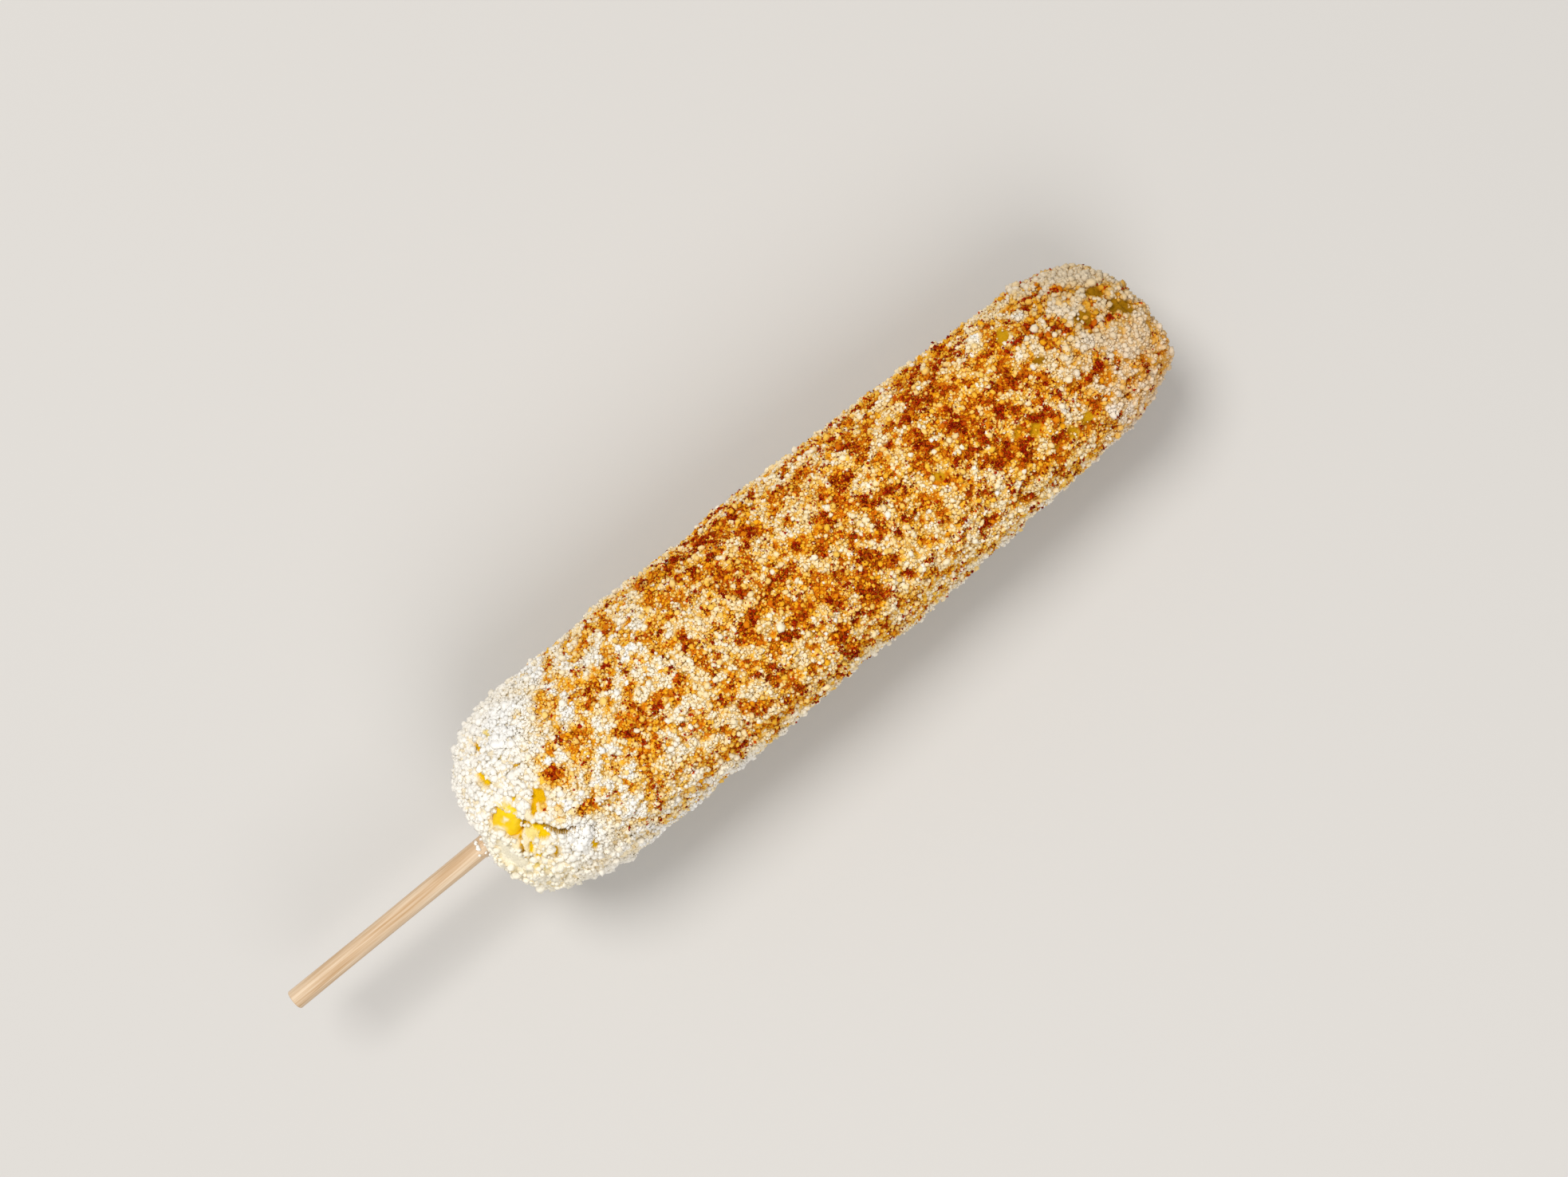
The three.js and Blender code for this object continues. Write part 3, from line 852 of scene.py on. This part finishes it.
def set_kernels(name, shape, places):
    """Places are (path, angle, half length, half width, inset, turn)."""
    spots, triangles = shape
    random = np.random.default_rng(101)
    path, angle, half_along, half_around, inset, turn = np.array(places).T
    middles, out = surface(path, angle)
    around_way = np.stack([0 * angle, np.cos(angle), -np.sin(angle)], axis=1)
    along_way = np.cross(around_way, out)
    turned_cos, turned_sin = np.cos(turn)[:, None], np.sin(turn)[:, None]
    along_way, around_way = (
        along_way * turned_cos + around_way * turned_sin,
        around_way * turned_cos - along_way * turned_sin,
    )
    sunk = inset + KERNEL_HEIGHT + random.uniform(-0.1, 0.3, len(path))
    centre = middles - out * sunk[:, None]
    size = random.uniform(0.95, 1.03, len(path))
    stretches = (
        along_way * (half_along * size)[:, None],
        around_way * (half_around * size)[:, None],
        out * KERNEL_HEIGHT,
    )
    copies = centre[:, None, :]
    for axis, stretch in enumerate(stretches):
        copies = copies + spots[None, :, axis : axis + 1] * stretch[:, None, :]
    faces = triangles[None, :, :] + (np.arange(len(path)) * len(spots))[:, None, None]
    copies = copies.reshape(-1, 3)
    piece = mesh_piece(name, on_table(copies), faces.reshape(-1, 3))
    lit_crown = smooth_step(-0.3, 0.5, spots[:, 2])  # painted shade: bright yellow on the crown and a darker amber down its sides, towards the creases
    colours = np.tile(blend(AMBER, LEMON, lit_crown), (len(path), 1))
    ragged = swells_at(copies, SMEAR_EDGE)
    for smear in SMEARS:
        share = smooth_step(1.3, 0.6, ellipse_reach(copies, *smear) + ragged) * (copies[:, 2] > 0)
        colours = blend(colours, CREAM, 0.9 * share)
    paint(piece, colours)
    print(f"{name}: {len(path)} kernels, {len(piece.data.polygons)} faces")
    return piece


END_INSETS = {0: 0.9, 15: 1.5, 14: 2.0}  # rows whose end kernel stands out through the crust
END_TURNS = {0: math.radians(28)}  # and one has been pushed round
end_ring, rows = [], []
for row in range(ROW_COUNT):
    angle = math.remainder(row * 2 * math.pi / ROW_COUNT, 2 * math.pi)
    shift = 0.5 * (row % 2)
    first_path = (END_RING_FROM + END_RING_TO - shift * KERNEL_PITCH) / 2
    first_half = (END_RING_TO - END_RING_FROM - shift * KERNEL_PITCH) / 2
    radius = float(np.interp(first_path, outline_path, outline_radius))
    inset = END_INSETS.get(row, 2.7)
    half_width = math.pi * (radius - inset) / ROW_COUNT
    end_ring.append((first_path, angle, first_half, half_width, inset, END_TURNS.get(row, 0)))
    path = END_RING_TO + (0.5 - shift) * KERNEL_PITCH
    while path < path_length - NO_KERNELS:
        radius = float(np.interp(path, outline_path, outline_radius))
        rise = TIP_RISE * smooth_step(path_length - RISES_FROM, path_length - RISES_TO, path)
        inset = float(KERNEL_INSET - rise)
        half_width = math.pi * max(radius - inset, LEAST_RADIUS) / ROW_COUNT
        rows.append((path, angle, 0.5 * KERNEL_PITCH, 0.99 * half_width, inset, 0))
        path += KERNEL_PITCH
kernels = set_kernels("kernels", kernel_shape(0), rows)
end_kernels = set_kernels("end_kernels", kernel_shape(2), end_ring)

# %% [markdown]
# ## The stick
# A round bamboo stick: a cylinder whose cut ends are bevelled. It is divided along its length and
# its sides are nudged along long stretched noise, because split bamboo is never quite round or
# straight.
# %% Model the stick
STICK_SIDES = 48
STICK_CUTS = 70
STICK_BEVEL = 0.4
STICK_SWELLS = [(2.6, 0.16, 111), (0.9, 0.05, 112)]  # sizes, heights and seeds
STICK_STRETCH = (1, 1, 0.06)  # bamboo's unevenness is long and narrow
STICK_SLIMMER = 0.02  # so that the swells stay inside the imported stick

stick = add_alone(
    bpy.ops.mesh.primitive_cylinder_add,
    vertices=STICK_SIDES, radius=stick_radius, depth=stick_length, end_fill_type="NGON",
)
stick.name = stick.data.name = "bamboo_stick"


def select_edges(mesh, wanted):
    """Selects the edges whose two ends' heights pass a test."""
    bpy.ops.object.mode_set(mode="EDIT")
    bpy.ops.mesh.select_mode(type="EDGE")
    bpy.ops.mesh.select_all(action="DESELECT")
    bpy.ops.object.mode_set(mode="OBJECT")
    for edge in mesh.edges:
        edge.select = wanted(*(mesh.vertices[v].co.z for v in edge.vertices))
    bpy.ops.object.mode_set(mode="EDIT")


select_edges(stick.data, lambda low, high: abs(low - high) < 1e-6)
bpy.ops.mesh.bevel(offset=STICK_BEVEL * MM, segments=3, affect="EDGES")
select_edges(stick.data, lambda low, high: abs(low - high) > stick_length / 2)
bpy.ops.mesh.subdivide(number_cuts=STICK_CUTS)
bpy.ops.object.mode_set(mode="OBJECT")
spots = spots_of(stick.data) / MM
nudge = swells_at(spots * np.array(STICK_STRETCH), STICK_SWELLS)
spots[:, :2] *= (1 + nudge / (stick_radius / MM) - STICK_SLIMMER)[:, None]
move_to(stick.data, spots * MM)
lay_down = Matrix.Translation(stick_end + stick_way * stick_length / 2)
lay_down @= Matrix.Rotation(math.pi / 2 + dip, 4, "Y")
stick.data.transform(lay_down)
bpy.ops.object.select_all(action="DESELECT")
stick.select_set(True)
bpy.context.view_layer.objects.active = stick
bpy.ops.object.shade_smooth_by_angle(angle=math.radians(40))
print("stick faces:", len(stick.data.polygons))

# %% A few crumbs on the stick
STRAY_COUNT = 16
STRAY_REACH = 4.5  # how far from the ear they cling, most of them close to it
random = np.random.default_rng(121)
round_stick = np.radians(random.uniform(-100, 70, STRAY_COUNT))
stray_along = -STRAY_REACH * random.uniform(0, 1, STRAY_COUNT) ** 1.5
out_of_stick = stick_radius / MM + 0.15
stray_centres = np.stack([
    stray_along,
    STICK_OFFSET + out_of_stick * np.sin(round_stick),
    out_of_stick * np.cos(round_stick),
], axis=1)
stray_sizes = random.uniform(0.3, 0.5, STRAY_COUNT)
stray_colours = np.tile(STAIN_COLOURS[0], (STRAY_COUNT, 1))
stray_crumbs = scatter("stray_crumbs", crumb_kit, stray_centres, stray_sizes, stray_colours, 122)

# %% [markdown]
# ## Materials
# Every material is built from nodes: a colour, small variation at the right size, roughness and
# bump. All the food reads the tint kept at its vertices, so the chile pattern is the same on the
# crust and the crumbs. The grain and the bamboo use Object coordinates, in metres.
# %% Node helpers
NOISE_DETAIL = 3.0
NOISE_LOW, NOISE_HIGH = 0.3, 0.7  # almost all of a noise pattern lies between these
BRIGHTEST = 1.04


def new_material(name, roughness, specular):
    material = bpy.data.materials.new(name)
    material.use_nodes = True
    shader = material.node_tree.nodes["Principled BSDF"]
    shader.inputs["Roughness"].default_value = roughness
    shader.inputs["Specular IOR Level"].default_value = specular
    return material, material.node_tree, shader


def add_node(tree, kind, **values):
    """A new node. Each of its sockets that is named is joined to a socket or set to a value."""
    node = tree.nodes.new("ShaderNode" + kind)
    for name, value in values.items():
        socket = node.inputs[name.replace("_", " ")]
        if isinstance(value, bpy.types.NodeSocket):
            tree.links.new(value, socket)
        else:
            socket.default_value = value
    return node


def noise_pattern(tree, size, stretch=None):
    """A noise pattern whose lumps are about this size, in millimetres."""
    place = add_node(tree, "TexCoord").outputs["Object"]
    if stretch:
        place = add_node(tree, "Mapping", Vector=place, Scale=stretch).outputs["Vector"]
    noise = add_node(tree, "TexNoise", Vector=place, Scale=1 / (size * MM), Detail=NOISE_DETAIL)
    return noise.outputs["Fac"]


def bump_from(tree, height, distance, shader):
    bump = add_node(tree, "Bump", Height=height, Distance=distance * MM)
    tree.links.new(bump.outputs["Normal"], shader.inputs["Normal"])


def shade_between(tree, pattern, low, high):
    """A value that runs from low to high with a noise pattern."""
    ends = {"From_Min": NOISE_LOW, "From_Max": NOISE_HIGH, "To_Min": low, "To_Max": high}
    return add_node(tree, "MapRange", Value=pattern, **ends).outputs["Result"]


def tinted_material(name, roughness, specular, grain_size, relief, darkest):
    """A finish that takes the tint at each vertex and breaks it up with fine grain."""
    material, tree, shader = new_material(name, roughness, specular)
    grain = noise_pattern(tree, grain_size)
    tint = add_node(tree, "VertexColor")
    tint.layer_name = "tint"
    shaded = add_node(tree, "VectorMath")
    shaded.operation = "SCALE"
    tree.links.new(tint.outputs["Color"], shaded.inputs[0])
    tree.links.new(shade_between(tree, grain, darkest, BRIGHTEST), shaded.inputs["Scale"])
    tree.links.new(shaded.outputs["Vector"], shader.inputs["Base Color"])
    bump_from(tree, grain, relief, shader)
    return material


# %% Cheese, chile and corn
# roughness, specular, size and relief of the grain in millimetres, and its darkest shade
crumb_material = tinted_material("crumbled_cheese", 0.8, 0.06, 0.5, 0.12, 0.94)
crust_material = tinted_material("cheese_crust", 0.75, 0.06, 0.35, 0.3, 0.88)
chile_material = tinted_material("ground_chile", 0.8, 0.04, 0.2, 0.05, 0.8)
kernel_material = tinted_material("corn_kernels", 0.35, 0.25, 1.2, 0.15, 0.86)

# %% Bamboo
BAMBOO_STOPS = [(0.32, (0.45, 0.26, 0.11, 1)), (0.66, (0.76, 0.61, 0.445, 1))]  # dark, light
BAMBOO_FIBRES, BAMBOO_STREAKS = 0.35, 1.6
bamboo_material, tree, shader = new_material("bamboo", roughness=0.55, specular=0.3)
fibres = noise_pattern(tree, BAMBOO_FIBRES, stretch=(0.02, 1, 1))
streaks = noise_pattern(tree, BAMBOO_STREAKS, stretch=(0.04, 1, 1))
mixed = add_node(tree, "Mix", A=fibres, B=streaks)
ramp = add_node(tree, "ValToRGB", Fac=mixed.outputs["Result"])
for element, stop in zip(ramp.color_ramp.elements, BAMBOO_STOPS):
    element.position, element.color = stop
tree.links.new(ramp.outputs["Color"], shader.inputs["Base Color"])
bump_from(tree, fibres, distance=0.06, shader=shader)

# %% [markdown]
# ## Give every piece its finish and its place in the model
# A piece rides on the model's one body and takes its finish, and the nodes of the imported model
# that it replaces are hidden.
# %% Finish the pieces
def finish_piece(piece, material, slot, *nodes_replaced):
    piece.data.materials.clear()
    piece.data.materials.append(material)
    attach(piece, "root")
    if nodes_replaced:
        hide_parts(*nodes_replaced)


finish_piece(crust_pieces[0], crust_material, "crumbled_cheese", "cheese_coat")
for piece in crust_pieces[1:]:
    finish_piece(piece, crust_material, "crumbled_cheese")
for piece in crumb_pieces + [stray_crumbs]:
    finish_piece(piece, crumb_material, "crumbled_cheese")
finish_piece(flecks, chile_material, "chile_powder")
finish_piece(kernels, kernel_material, "corn", "corn_ear")
finish_piece(end_kernels, kernel_material, "corn")
finish_piece(stick, bamboo_material, "bamboo", "stick")

# %% [markdown]
# ## Floor, light and camera
# The elote lies on a plain pale floor under soft studio light. The main light is high on the ear's
# +Y side and a little nearer the stick end than the tip, so the crumbs cast short soft shadows
# towards -Y. The camera looks straight down with the ear running up to the right.
# %% Floor
FLOOR_SIZE = 6
floor = add_alone(bpy.ops.mesh.primitive_plane_add, size=FLOOR_SIZE, location=(0, 0, 0))
floor.name = "floor"
floor_material, _, shader = new_material("pale_floor", roughness=0.9, specular=0.2)
shader.inputs["Base Color"].default_value = (0.60, 0.585, 0.565, 1)
floor.data.materials.append(floor_material)

# %% Camera
PICTURE_TURN = math.radians(39.24)  # the ear runs up to the right at this angle
PICTURE_WIDTH = 0.351  # how wide a view the camera takes in at the height of the ear's axis
LENS = 60
SENSOR = 36
LOOK_AT = (86.8, 0.7, -0.8)  # from where the ear's axis starts
look_at = ear_start + Vector(LOOK_AT) * MM
camera_height = PICTURE_WIDTH / 2 / (SENSOR / 2 / LENS)
camera_data = bpy.data.cameras.new("camera")
camera_data.lens = LENS
camera_data.sensor_width = SENSOR
camera = add_object("camera", camera_data)
camera.location = look_at + Vector((0, 0, camera_height))
camera.rotation_euler = (0, 0, -PICTURE_TURN)
bpy.context.scene.camera = camera

# %% Light
WARM_WHITE = (1.0, 0.98, 0.95)
SOFT_WHITE = (1.0, 0.985, 0.965)
WORLD_STRENGTH = 0.44
picture_left = Vector((-math.cos(PICTURE_TURN), math.sin(PICTURE_TURN), 0))
picture_down = Vector((-math.sin(PICTURE_TURN), -math.cos(PICTURE_TURN), 0))


def area_light(name, place, size, power, colour):
    data = bpy.data.lights.new(name, "AREA")
    data.shape = "DISK"
    data.size = size
    data.energy = power
    data.color = colour
    lamp = add_object(name, data)
    lamp.location = look_at + place
    lamp.rotation_euler = (-place).to_track_quat("-Z", "Y").to_euler()


# metres from what the camera looks at
window_place = picture_left * 0.74 - picture_down * 0.55 + Vector((0, 0, 1.78))
fill_place = picture_down * 0.55 - picture_left * 0.25 + Vector((0, 0, 0.8))
area_light("window_light", window_place, size=0.96, power=25.9, colour=WARM_WHITE)
area_light("fill_light", fill_place, size=0.8, power=4.2, colour=SOFT_WHITE)
world = bpy.data.worlds.new("studio")
world.use_nodes = True
background = world.node_tree.nodes["Background"]
background.inputs["Color"].default_value = (*SOFT_WHITE, 1)
background.inputs["Strength"].default_value = WORLD_STRENGTH
bpy.context.scene.world = world
bpy.context.scene.view_settings.view_transform = "Standard"
